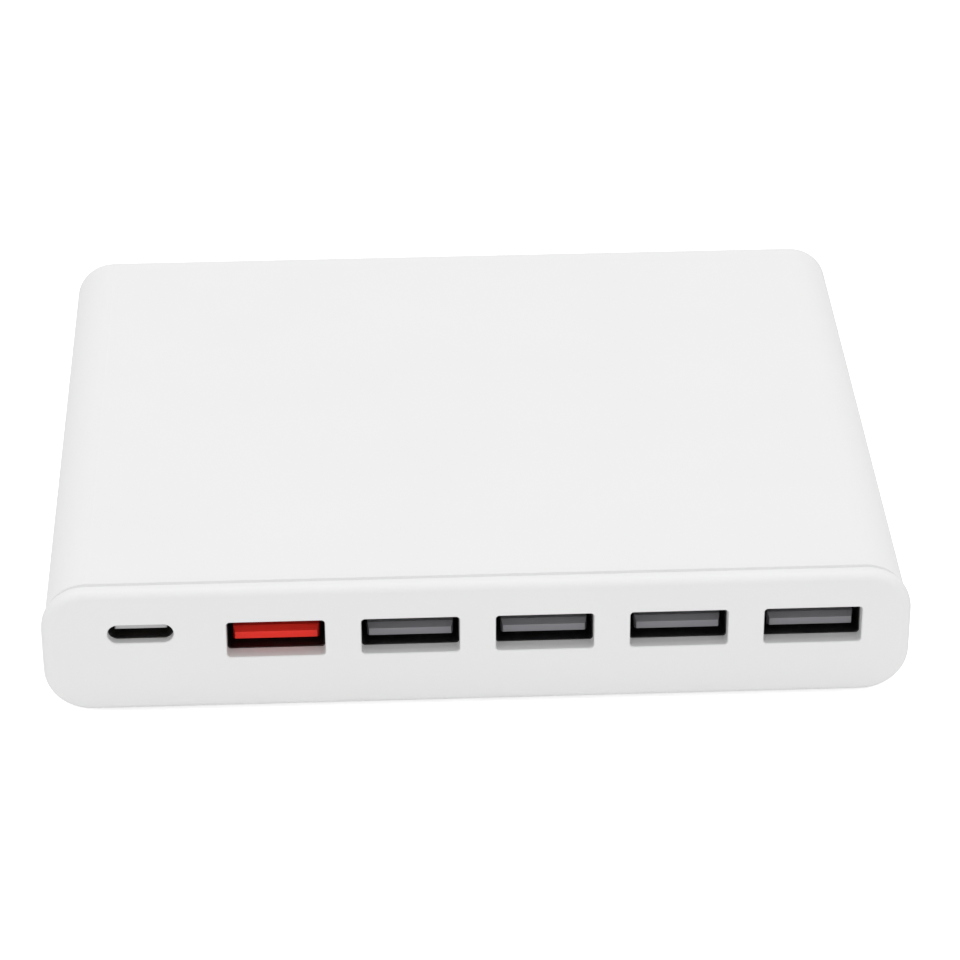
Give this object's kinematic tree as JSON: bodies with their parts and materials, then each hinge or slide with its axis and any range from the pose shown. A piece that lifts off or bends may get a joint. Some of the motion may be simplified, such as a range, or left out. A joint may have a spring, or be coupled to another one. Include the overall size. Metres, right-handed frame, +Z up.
{
  "type": "usb desktop charger",
  "caption": "Slim rounded mains charger with a row of USB-A sockets and a USB-C socket in a proud front panel and a figure-eight inlet behind.",
  "frame": {"origin": "on the table, under the middle of the charger's bounding box", "axes": "+X to the right as seen from the socket side, +Y from the sockets to the mains inlet, +Z up"},
  "size_m": [0.112, 0.0914, 0.0188],
  "materials": {
    "casing_white": "fine satin moulded white",
    "panel_white": "semi-gloss moulded white",
    "foot_rubber": "soft grey rubber",
    "socket_steel": "plated sheet steel",
    "contact_metal": "gilded sheet",
    "tongue_red": "red moulded",
    "tongue_grey": "dark grey moulded",
    "tongue_pale": "pale grey moulded",
    "black_plastic": "black moulded",
    "pin_metal": "nickel-plated pin",
    "board_green": "solder mask",
    "ferrite": "sintered ferrite",
    "coil_tape": "yellow polyester tape",
    "copper_wire": "enamelled copper wire",
    "can_sleeve": "dark shrink sleeve over an aluminium can",
    "film_yellow": "yellow moulded box",
    "disc_blue": "blue epoxy dip",
    "aluminium": "plain sheet",
    "thermal_grey": "soft gap filler",
    "film_clear": "milky polyester film"
  },
  "bodies": {
    "root": {"bridge_rectifier": "black_plastic", "buck_inductor_1": "ferrite", "buck_inductor_2": "ferrite", "buck_inductor_3": "ferrite", "bulk_capacitor_1": "can_sleeve", "bulk_capacitor_2": "can_sleeve", "choke_core": "ferrite", "choke_windings": "copper_wire", "foot_front_left": "foot_rubber", "foot_front_right": "foot_rubber", "foot_rear_left": "foot_rubber", "foot_rear_right": "foot_rubber", "front_panel": "panel_white", "fuse": "black_plastic", "heat_spreader": "aluminium", "inlet_housing": "black_plastic", "inlet_pin_left": "pin_metal", "inlet_pin_right": "pin_metal", "insulating_film": "film_clear", "main_board": "board_green", "optocoupler": "black_plastic", "output_capacitor_1": "can_sleeve", "output_capacitor_2": "can_sleeve", "output_capacitor_3": "can_sleeve", "port_controller": "black_plastic", "primary_controller": "black_plastic", "primary_heatsink": "aluminium", "primary_transistor": "black_plastic", "rear_panel": "casing_white", "secondary_heatsink": "aluminium", "secondary_transistor": "black_plastic", "sleeve": "casing_white", "thermal_pad": "thermal_grey", "transformer_coil": "coil_tape", "transformer_core": "ferrite", "usb_a_contacts_1": "contact_metal", "usb_a_contacts_2": "contact_metal", "usb_a_contacts_3": "contact_metal", "usb_a_contacts_4": "contact_metal", "usb_a_contacts_5": "contact_metal", "usb_a_shell_1": "socket_steel", "usb_a_shell_2": "socket_steel", "usb_a_shell_3": "socket_steel", "usb_a_shell_4": "socket_steel", "usb_a_shell_5": "socket_steel", "usb_a_tongue_1": "tongue_red", "usb_a_tongue_2": "tongue_grey", "usb_a_tongue_3": "tongue_grey", "usb_a_tongue_4": "tongue_grey", "usb_a_tongue_5": "tongue_grey", "usb_c_contacts": "contact_metal", "usb_c_shell": "socket_steel", "usb_c_tongue": "tongue_pale", "varistor": "disc_blue", "x_capacitor": "film_yellow", "y_capacitor": "disc_blue"}
  },
  "joints": []
}
